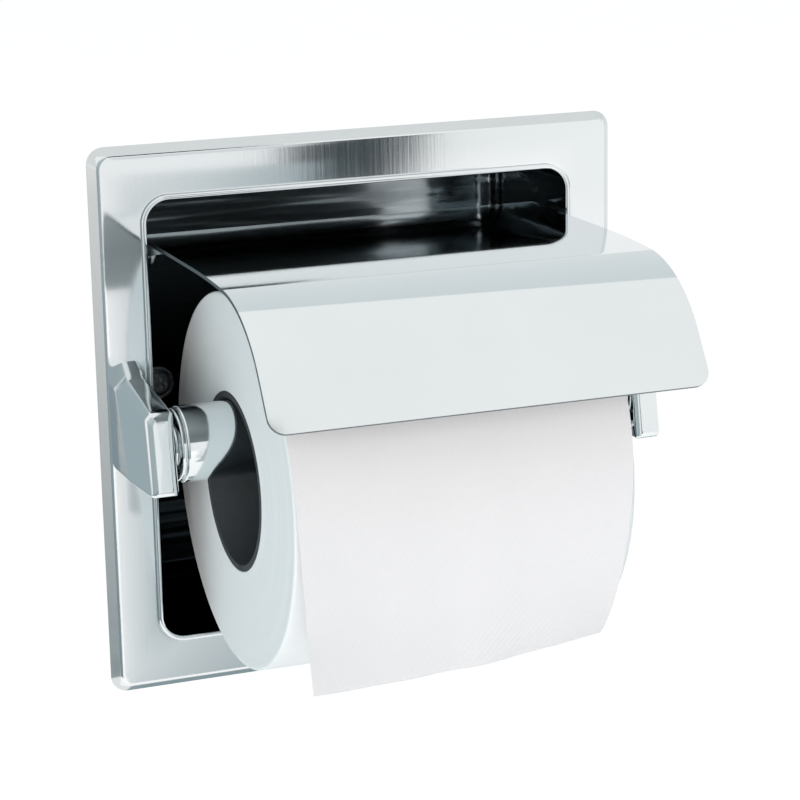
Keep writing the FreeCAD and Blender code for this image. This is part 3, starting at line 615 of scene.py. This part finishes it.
# Roller: two chromed tubes, one sliding in the other over a coil spring, with a plug in
# each end whose spigot sits in a post. Pushing the halves together frees it.
ROLLER_Y = -30.0 * MM
ROLLER_Z = 1.0 * MM
ROLLER_R = 10.5 * MM
ROLLER_BORE = 9.2 * MM
ROLLER_SLIDE = 9.14 * MM
ROLLER_PLAY = 14.0 * MM
PLUG_COLLAR = 1.5 * MM
PLUG_COLLAR_R = 10.0 * MM
PLUG_NECK_R = 6.0 * MM
SPIGOT = 4.0 * MM
SPIGOT_R = 4.0 * MM
tube_low, tube_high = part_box("roller_outer_half")
plug_low, plug_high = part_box("right_end_plug")
ROLLER_END = -tube_low.x
ROLLER_MOUTH = tube_high.x
ROLLER_HEAD = ROLLER_MOUTH + ROLLER_PLAY
SPRING_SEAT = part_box("roller_inner_half")[0].x
ROLLER_CHROME = (0.82, 0.86, 0.87, 1.0)


def turned_on_x(line, y, z, steps=96):
    """A profile of (along X, radius) points turned about a line along X: each point runs round a circle."""
    angles = np.linspace(0, 2 * math.pi, steps + 1)
    grid = np.empty((len(line), steps + 1, 3))
    grid[..., 0] = line[:, :1]
    grid[..., 1] = y + line[:, 1:] * np.cos(angles)
    grid[..., 2] = z + line[:, 1:] * np.sin(angles)
    return grid


roller_finish = plated_finish(
    "turned_roller_chrome", ROLLER_CHROME, gloss=0.04, grain=(1600.0, 60.0, 60.0), grain_rough=0.04,
    grain_depth=0.001 * MM, swell=(50.0, 20.0, 20.0), swell_depth=0.005 * MM)
outer_tube = rounded_line(
    [(-ROLLER_END, ROLLER_R), (ROLLER_MOUTH, ROLLER_R),
     (ROLLER_MOUTH, ROLLER_BORE), (-ROLLER_END, ROLLER_BORE)],
    np.array([0.5, 0.4, 0.2, 0.2]) * MM, 6, 12)
inner_tube = rounded_line(
    [(SPRING_SEAT, 0.0), (SPRING_SEAT, ROLLER_SLIDE), (ROLLER_HEAD, ROLLER_SLIDE), (ROLLER_HEAD, ROLLER_R),
     (ROLLER_END, ROLLER_R), (ROLLER_END, ROLLER_BORE), (ROLLER_HEAD, ROLLER_BORE), (ROLLER_HEAD, 0.0)],
    np.array([0.0, 0.4, 0.1, 0.4, 0.5, 0.2, 0.2, 0.0]) * MM, 5, 6, closed=False)


def plug_line(side):
    """An end plug's half outline, from the stem in the tube out over collar, neck and spigot to its tip."""
    collar_end = ROLLER_END + PLUG_COLLAR
    neck_end = plug_high.x - SPIGOT
    corners = [(plug_low.x, 0.0), (plug_low.x, ROLLER_SLIDE), (ROLLER_END, ROLLER_SLIDE),
               (ROLLER_END, PLUG_COLLAR_R), (collar_end, PLUG_COLLAR_R), (collar_end, PLUG_NECK_R),
               (neck_end, PLUG_NECK_R), (neck_end, SPIGOT_R), (plug_high.x, SPIGOT_R), (plug_high.x, 0.0)]
    rounds = [0.0, 0.2, 0.1, 0.3, 0.45, 0.3, 0.3, 0.2, 0.9, 0.0]
    line = rounded_line(corners, np.array(rounds) * MM, 5, 2, closed=False)
    return line * np.array([side, 1.0])


for name, node, line, body in (
    ("roller_tube", "roller_outer_half", outer_tube, "roller_outer"),
    ("roller_slide", "roller_inner_half", inner_tube, "roller_inner"),
    ("left_plug", "left_end_plug", plug_line(-1), "roller_outer"),
    ("right_plug", "right_end_plug", plug_line(1), "roller_inner"),
):
    turned = make_piece(name, [turned_on_x(line, ROLLER_Y, ROLLER_Z)], roller_finish, 30.0)
    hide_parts(node)
    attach(turned, body)


# Roller spring: a coil of hard-drawn steel wire inside the roller that pushes its two halves
# apart. The real coil closes up when the roller is pressed short; this one is one fixed coil that moves with
# the outer tube.
SPRING_WIRE = 0.6 * MM
SPRING_COIL = 7.0 * MM
SPRING_TURNS = 9
spring_low, spring_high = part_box("roller_spring")


def spring_grid():
    """A small circle carried along a helix about the roller's line: the helix climbs evenly along X, and the
    circle stands in the plane of the radius and of X. Both ends shrink to a point."""
    turn = np.linspace(0, 2 * math.pi * SPRING_TURNS, 32 * SPRING_TURNS + 1)
    low = spring_low.x + SPRING_WIRE
    climb = (spring_high.x - SPRING_WIRE - low) / turn[-1]
    section = np.linspace(0, 2 * math.pi, 11)
    wire = np.full(len(turn), SPRING_WIRE)
    wire[[0, -1]] = 0.0
    radius = SPRING_COIL + wire[:, None] * np.cos(section)
    grid = np.empty((len(turn), len(section), 3))
    grid[..., 0] = low + climb * turn[:, None] + wire[:, None] * np.sin(section)
    grid[..., 1] = ROLLER_Y + radius * np.cos(turn)[:, None]
    grid[..., 2] = ROLLER_Z + radius * np.sin(turn)[:, None]
    return grid


spring = make_piece("coil_spring", [spring_grid()], steel_finish, 60.0)
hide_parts("roller_spring")
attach(spring, "roller_outer")
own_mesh(spring)


# Core tube: card wound in a spiral and glued, which hangs on the roller and
# carries the paper. Its card is coloured near black with painted shade for the dim inside of the tube.
CORE_INNER = 23.0 * MM
CORE_ROUND = 0.3 * MM
CARD_SPIRAL = 70.0 * MM
CARD_SEAM = 0.03
# Painted shade: both card colours are near black, standing for the shade inside the tube.
CARD_PAINTED_SHADE = (0.034, 0.041, 0.046, 1.0)
CARD_FIBRE_PAINTED_SHADE = (0.060, 0.070, 0.076, 1.0)
core_low, core_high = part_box("core_tube")
ROLL_Y = (core_low.y + core_high.y) / 2
ROLL_Z = (core_low.z + core_high.z) / 2
CORE_OUTER = (core_high.z - core_low.z) / 2


def from_axis(place, y, z):
    """The distance of a place from a line along X, and its angle about that line as a share of a turn."""
    across = place.part("Y") - y
    upward = place.part("Z") - z
    radius = (across * across + upward * upward) ** 0.5
    turn = place.math("ARCTAN2", upward, across) * (1 / (2 * math.pi))
    return radius, turn


def shaded_card_finish(name):
    """Card coloured near black with painted shade: short fibres lie in all directions, and one glued seam
    climbs in a spiral.
    """
    finish, shader, place = new_finish(name)
    turn = from_axis(place, ROLL_Y, ROLL_Z)[1]
    fibres = place.noise((900.0, 2600.0, 2600.0), 4.0)
    spiral = place.math("FRACT", place.part("X") * (1 / CARD_SPIRAL) + turn)
    seam = place.math("LESS_THAN", spiral, CARD_SEAM)
    set_shader(shader, place, {
        "Base Color": (fibres * (1.0 - seam)).mixed(CARD_PAINTED_SHADE, CARD_FIBRE_PAINTED_SHADE),
        "Roughness": 0.85 + fibres * 0.1,
        "Normal": (fibres * (0.05 * MM) - seam * (0.15 * MM)).bump(),
    })
    return finish


core_line = rounded_line(
    [(core_low.x, CORE_OUTER), (core_high.x, CORE_OUTER),
     (core_high.x, CORE_INNER), (core_low.x, CORE_INNER)],
    np.full(4, CORE_ROUND), 4, 10)
core = make_piece("card_core", [turned_on_x(core_line, ROLL_Y, ROLL_Z)], shaded_card_finish("spiral_card_painted_shade"), 40.0)
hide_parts("core_tube")
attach(core, "paper_roll")


# Paper roll: a long strip of soft embossed tissue wound tightly on the core. Its ends show
# the edges of the layers, cut not quite level.
ROLL_R = 52.0 * MM
ROLL_BORE = CORE_OUTER + 0.05 * MM
ROLL_EDGE = 0.9 * MM
ROLL_EDGES = (0.3, 0.3, 1.0, 1.0)
ROLL_END_RISE = 4.0 * MM
ROLL_END_SINK = 0.10 * MM
ROLL_END_RIPPLE = 0.03 * MM
ROLL_RIPPLES = ((1.9 * MM, 1.0), (0.83 * MM, 0.6))
ROLL_END_FACE = 0.1 * MM
LAYER = 0.45 * MM
TISSUE = (0.90, 0.915, 0.925, 1.0)
TISSUE_SHADE = (0.84, 0.86, 0.875, 1.0)
# Painted shade: the ends' tissue is a cooler copy of the outside's, for the blue cast on their shaded side.
END_TISSUE_PAINTED_SHADE = (0.868, 0.910, 0.922, 1.0)
END_TISSUE_DARK_PAINTED_SHADE = (0.808, 0.855, 0.872, 1.0)
TISSUE_BUMP = 0.8
TISSUE_SPECULAR = 0.2
ROLL_END_BAND = 47.6 * MM
ROLL_MIDDLE_X = -1.0 * MM
roll_low, roll_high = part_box("paper_roll")


def roll_line():
    """The roll's outline: level along bore and outside, while each end is a row of radii with shallow ripples
    where groups of layers stand a little back."""
    corners = [(roll_low.x, ROLL_BORE), (roll_high.x, ROLL_BORE), (roll_high.x, ROLL_R), (roll_low.x, ROLL_R)]
    line = rounded_line(corners, np.array(ROLL_EDGES) * ROLL_EDGE, 6, 40)
    x, radius = line.T
    depth = np.minimum(radius - ROLL_BORE, ROLL_R - radius) / ROLL_END_RISE
    ripple = sum(np.sin(radius / pitch) * height for pitch, height in ROLL_RIPPLES)
    inward = np.clip(depth, 0, 1) * np.where(x > 0, -1, 1)
    is_end = np.minimum(np.abs(x - roll_low.x), np.abs(x - roll_high.x)) < ROLL_END_FACE
    sunk = x + np.where(is_end, inward * (ROLL_END_SINK + ROLL_END_RIPPLE * ripple), 0.0)
    return np.stack([sunk, radius], axis=-1)


def wound_tissue_finish(name):
    """Wound tissue: rings of layer edges whose depth and tint vary from layer to layer, a fine fluff over
    all, and ends tinted cooler than the outside with painted shade, the blue cast of their shaded side."""
    finish, shader, place = new_finish(name)
    radius, turn = from_axis(place, ROLL_Y, ROLL_Z)
    winding = radius * (1 / LAYER)
    spun = place.add("CombineXYZ", {}, {"X": winding * 0.9, "Y": turn * 9.0, "Z": 0.0})
    layers = place.add("TexNoise", {}, {"Vector": spun, "Scale": 1.0, "Detail": 3.0})
    fluff = place.noise((700.0, 700.0, 700.0), 3.0)
    from_middle = place.math("ABSOLUTE", place.part("X") - ROLL_MIDDLE_X)
    # Painted shade: the end faces get the cooler copy of the tissue colour.
    painted_shade_at_end = place.math("GREATER_THAN", from_middle, ROLL_END_BAND)
    depth = layers * 0.6 + fluff * 0.4
    outside = depth.mixed(TISSUE_SHADE, TISSUE)
    ends = depth.mixed(END_TISSUE_DARK_PAINTED_SHADE, END_TISSUE_PAINTED_SHADE)
    height = layers * (0.03 * MM) + fluff * (0.05 * MM)
    set_shader(shader, place, {
        "Base Color": painted_shade_at_end.mixed(outside, ends),
        "Roughness": 0.9 + fluff * 0.1,
        "Normal": height.bump(TISSUE_BUMP),
        "Specular IOR Level": TISSUE_SPECULAR,
    })
    return finish


roll_finish = wound_tissue_finish("wound_tissue")
roll = make_piece("wound_paper", [turned_on_x(roll_line(), ROLL_Y, ROLL_Z, 160)], roll_finish, 50.0)
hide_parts("paper_roll")
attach(roll, "paper_roll")


# Paper tail: the free end of the strip, which comes over the roll's front under the hood and
# hangs down a little away from it, pressed with fine slanting lines.
TAIL_TOP = math.radians(32.0)
TAIL_LEFT_X = -49.2 * MM
TAIL_RIGHT_X = 47.2 * MM
TAIL_DRAW_IN = 2.9 * MM
TAIL_GAP = 0.5 * MM
TAIL_THICKNESS = 0.3 * MM
TAIL_LEFT_TURN = (0.0, 13.0, 26.4, 41.0, 54.5, 64.9)
TAIL_RIGHT_TURN = (0.0, 14.0, 28.5, 43.7, 63.0, 83.5)
TAIL_LEFT_LIFT = (0.0, 0.018, 0.063, 0.216, 0.527, 1.0)
TAIL_RIGHT_LIFT = (0.0, 0.018, 0.055, 0.148, 0.444, 1.0)
TAIL_RIGHT_INWARD = (0.0, 0.15, 0.40, 0.69, 0.95, 1.0)
TAIL_LEFT_REACH = 22.2 * MM
TAIL_RIGHT_REACH = 5.4 * MM
TAIL_LAID = math.radians(50.0)
TAIL_LAID_STEPS = 22
TAIL_STEPS = 70
TAIL_COLUMNS = 81
# Painted light: the tail's tissue is a warmer, greyer copy of the roll's, for the neutral look of the
# front-lit tail.
TAIL_TISSUE_PAINTED_LIGHT = (0.862, 0.845, 0.858, 1.0)
TAIL_TISSUE_SHADE_PAINTED_LIGHT = (0.812, 0.798, 0.812, 1.0)
TAIL_LAID_GAP = 0.7
TAIL_RIPPLE = 0.5 * MM
TAIL_RIPPLES = ((0.35, 23.0, 0.7), (0.5, 9.5, 2.0))
TAIL_LINE_SLANT = 0.8
TAIL_LINE_WAVE = 2900.0
TAIL_LINE_DEPTH = 0.036 * MM
TAIL_FIBRE_DEPTH = 0.05 * MM


def smooth_through(values, share):
    """A smooth line through evenly spaced values: cubic pieces that leave each value along the line from the
    one before to the one after."""
    values = np.asarray(values)
    place = np.clip(share, 0, 1) * (len(values) - 1)
    first = np.minimum(place.astype(int), len(values) - 2)
    part = place - first
    slopes = np.gradient(values)
    p0, p1, m0, m1 = values[first], values[first + 1], slopes[first], slopes[first + 1]
    bend = part * part * (3 - 2 * part)
    return p0 + (p1 - p0) * bend + m0 * part * (1 - part) ** 2 - m1 * part * part * (1 - part)


def tail_grid():
    """The strip's rows go from where it lies on the roll down to its lower edge. Its two side edges each turn
    about the roll's line and lift off it by their own amounts, and columns are evenly spaced between them,
    with slight upright ripples that grow downwards."""
    down = np.linspace(0, 1, TAIL_STEPS + 1)
    laid = np.linspace(1, 0, TAIL_LAID_STEPS + 1)[:-1]
    across = np.linspace(0, 1, TAIL_COLUMNS)
    left_turn = np.radians(smooth_through(TAIL_LEFT_TURN, down))
    right_turn = np.radians(smooth_through(TAIL_RIGHT_TURN, down))
    left_lift = smooth_through(TAIL_LEFT_LIFT, down) * TAIL_LEFT_REACH
    right_lift = smooth_through(TAIL_RIGHT_LIFT, down) * TAIL_RIGHT_REACH
    inward = smooth_through(TAIL_RIGHT_INWARD, down) * TAIL_DRAW_IN
    left_turn = np.concatenate([-TAIL_LAID * laid, left_turn])
    right_turn = np.concatenate([-TAIL_LAID * laid, right_turn])
    gap = np.concatenate([TAIL_GAP * (1 - TAIL_LAID_GAP * laid), np.full(len(down), TAIL_GAP)])
    nothing = np.zeros(len(laid))
    left_lift = np.concatenate([nothing, left_lift])
    right_lift = np.concatenate([nothing, right_lift])
    inward = np.concatenate([nothing, inward])
    grown = np.concatenate([nothing, down ** 2])
    ripple = sum(height * np.sin(across * wave + start) for height, wave, start in TAIL_RIPPLES)
    ripple = ripple * np.sin(across * math.pi)
    turn = left_turn[:, None] + (right_turn - left_turn)[:, None] * across
    lift = left_lift[:, None] + (right_lift - left_lift)[:, None] * across
    radius = ROLL_R + gap[:, None] + lift + grown[:, None] * ripple * TAIL_RIPPLE
    angle = TAIL_TOP - turn
    grid = np.empty(turn.shape + (3,))
    grid[..., 0] = TAIL_LEFT_X + (TAIL_RIGHT_X - inward - TAIL_LEFT_X)[:, None] * across
    grid[..., 1] = ROLL_Y - radius * np.cos(angle)
    grid[..., 2] = ROLL_Z + radius * np.sin(angle)
    return grid


def painted_light_tissue_finish(name):
    """Tissue sheet: fibres and faint clouds in the paper, with fine slanting pressed lines that show where
    the light grazes. Its colour is a warmer, greyer copy of the roll's tissue: painted light, the neutral
    look of the front-lit tail."""
    finish, shader, place = new_finish(name)
    fibres = place.noise((1500.0, 900.0, 900.0), 4.0)
    clouds = place.noise((60.0, 60.0, 60.0), 3.0)
    slanted = place.part("X") - place.part("Z") * TAIL_LINE_SLANT
    pressed = place.math("SINE", slanted * TAIL_LINE_WAVE)
    height = fibres * TAIL_FIBRE_DEPTH + pressed * clouds * TAIL_LINE_DEPTH
    set_shader(shader, place, {
        "Base Color": (clouds * 0.5 + fibres * 0.5).mixed(TAIL_TISSUE_SHADE_PAINTED_LIGHT, TAIL_TISSUE_PAINTED_LIGHT),
        "Roughness": 0.9 + fibres * 0.1,
        "Normal": height.bump(TISSUE_BUMP),
        "Specular IOR Level": TISSUE_SPECULAR,
    })
    return finish


tail_points = tail_grid()
tail_finish = painted_light_tissue_finish("embossed_tissue_painted_light")
tail = make_piece("hanging_tail", [tail_points[:, ::-1]], tail_finish, 60.0, closed=False)
thicken(tail, TAIL_THICKNESS, TAIL_THICKNESS / 4)
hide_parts("paper_tail")
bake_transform(tail)


# Studio: a pale floor far below, a soft even light from all round with a large soft lamp in
# front on the left, and plain panels outside the picture that only the polished metal shows.
FLOOR_Z = -0.55
FLOOR_HALF = 20.0
FLOOR_COLOUR = (0.80, 0.81, 0.82, 1.0)
FLOOR_SHOWN = (0.68, 0.612, 0.592, 1.0)
FLOOR_LIGHT = (0.34, 0.325, 0.32, 1.0)
WORLD_LIGHT = 0.50
WORLD_COOL = (0.78, 0.96, 1.0, 1.0)
LAMP_POWER = 64.0
LAMP_SIZE = 2.4
LAMP_PLACE = (-1.30, -2.7, 0.20)
LAMP_WARM = (1.0, 0.90, 0.86)
PANEL_DISTANCE = 1.2
PANEL_RED = 1.24
PANEL_BLUE = 0.92
BLACK = (0.0, 0.0, 0.0, 1.0)
WHITE = (1.0, 1.0, 1.0, 1.0)
CAMERA_PLACE = (-0.24770, -0.67496, 0.18157)
CAMERA_FORWARD = (0.34776, 0.90485, -0.24595)
CAMERA_ROLL = math.radians(1.1155)
CAMERA_LENS = 115.53
CAMERA_SENSOR = 36.0


def plain_sheet(name, corners, finish, tones=None):
    """A flat four-cornered sheet for the studio, given by its corners in order, each with its own tone."""
    mesh = bpy.data.meshes.new(name)
    mesh.from_pydata(corners, [], [(0, 1, 2, 3)])
    mesh.materials.append(finish)
    if tones:
        layer = mesh.color_attributes.new("tone", "FLOAT_COLOR", "POINT")
        layer.data.foreach_set("color", np.array(tones).ravel())
    sheet = bpy.data.objects.new(name, mesh)
    bpy.context.collection.objects.link(sheet)
    return sheet


def seen_directly(start):
    """1 for what the camera sees, straight, in metal or through glass, and 0 for light on other things."""
    camera = start.add("LightPath", output="Is Camera Ray")
    glossy = start.add("LightPath", output="Is Glossy Ray")
    through = start.add("LightPath", output="Is Transmission Ray")
    return start.math("MAXIMUM", start.math("MAXIMUM", camera, glossy), through)


floor_finish, floor_shader, floor_place = new_finish("pale_floor")
set_shader(floor_shader, floor_place, {
    "Base Color": FLOOR_COLOUR,
    "Roughness": 1.0,
    "Specular IOR Level": 0.0,
    "Emission Color": seen_directly(floor_place).mixed(FLOOR_LIGHT, FLOOR_SHOWN),
    "Emission Strength": 1.0,
})
plain_sheet("floor", [(-FLOOR_HALF, -FLOOR_HALF, FLOOR_Z), (FLOOR_HALF, -FLOOR_HALF, FLOOR_Z),
                      (FLOOR_HALF, FLOOR_HALF, FLOOR_Z), (-FLOOR_HALF, FLOOR_HALF, FLOOR_Z)], floor_finish)


panel_finish, panel_shader, panel_place = new_finish("glowing_panel")
set_shader(panel_shader, panel_place, {
    "Base Color": BLACK,
    "Specular IOR Level": 0.0,
    "Emission Color": panel_place.add("Attribute", {"attribute_name": "tone"}),
    "Emission Strength": 1.0,
})


def cool_tone(grey):
    """A panel's colour: the darker its grey, the more it leans to blue and green."""
    return (grey ** PANEL_RED, grey, grey ** PANEL_BLUE, 1.0)


def studio_panel(name, turns, tilts, greys, distance=PANEL_DISTANCE):
    """A panel that fills a window of directions as seen from the holder: turns run from straight in front to
    the right, and tilts from level upwards, both in degrees. Its greys are those of its corners, from lower
    left round to upper left, and blend over it."""
    turn = np.radians(np.array([turns[0], turns[1], turns[1], turns[0]]))
    tilt = np.radians(np.array([tilts[0], tilts[0], tilts[1], tilts[1]]))
    corners = np.stack([np.sin(turn) * np.cos(tilt), -np.cos(turn) * np.cos(tilt), np.sin(tilt)], axis=-1)
    tones = [cool_tone(grey) for grey in greys]
    panel = plain_sheet(name, (corners * distance).tolist(), panel_finish, tones)
    panel.visible_camera = False
    panel.visible_diffuse = False
    panel.visible_shadow = False


studio_panel("rear_left_panel", (-178, -118), (-26, 32), (0.42, 0.42, 0.48, 0.48))
studio_panel("left_panel", (-112, -62), (-26, 5), (0.22, 0.22, 1.25, 1.25))
studio_panel("front_left_panel", (-60, 4), (-26, 38), (0.25, 0.25, 0.75, 0.75))
studio_panel("front_dark_panel", (4, 19), (23, 44), (0.025, 0.025, 0.025, 0.025))
studio_panel("front_low_panel", (7, 18.6), (-30, -5), (0.90, 0.32, 0.50, 1.05), 1.05)
studio_panel("dark_stand", (17.9, 21.9), (-11, 5), (0.02, 0.02, 0.02, 0.02), 2.0)
studio_panel("upper_rear_panel", (100, 175), (20, 56), (0.86, 0.86, 0.79, 0.79), 2.5)
studio_panel("under_panel", (60, 180), (-75, -35), (0.40, 0.40, 0.40, 0.40), 0.55)
studio_panel("front_grey_panel", (11.5, 18.5), (-2.5, 8), (0.77, 0.81, 0.86, 0.82), 1.5)

world = bpy.data.worlds.new("studio_air")
bpy.context.scene.world = world
world.use_nodes = True
background = world.node_tree.nodes["Background"]
air = Flow(world.node_tree)
seen = seen_directly(air)
air.join(background.inputs["Color"], seen.mixed(WORLD_COOL, WHITE))
air.join(background.inputs["Strength"], seen * (1.0 - WORLD_LIGHT) + WORLD_LIGHT)


def soft_lamp(name, place, target, size, power):
    """A square soft lamp that faces a target."""
    data = bpy.data.lights.new(name, "AREA")
    data.size = size
    data.energy = power
    data.color = LAMP_WARM
    lamp = bpy.data.objects.new(name, data)
    lamp.location = place
    direction = target - lamp.location
    lamp.rotation_euler = direction.to_track_quat("-Z", "Y").to_euler()
    lamp.visible_glossy = False
    bpy.context.collection.objects.link(lamp)


middle = (cad_low + cad_high) / 2
soft_lamp("front_soft_lamp", LAMP_PLACE, middle, LAMP_SIZE, LAMP_POWER)

camera_data = bpy.data.cameras.new("camera")
camera_data.lens = CAMERA_LENS
camera_data.sensor_width = CAMERA_SENSOR
camera = bpy.data.objects.new("camera", camera_data)
camera.location = CAMERA_PLACE
camera.rotation_mode = "QUATERNION"
facing = Vector(CAMERA_FORWARD).to_track_quat("-Z", "Y")
camera.rotation_quaternion = facing @ Quaternion((0.0, 0.0, 1.0), -CAMERA_ROLL)
bpy.context.collection.objects.link(camera)
bpy.context.scene.camera = camera
bpy.context.scene.view_settings.view_transform = "Standard"
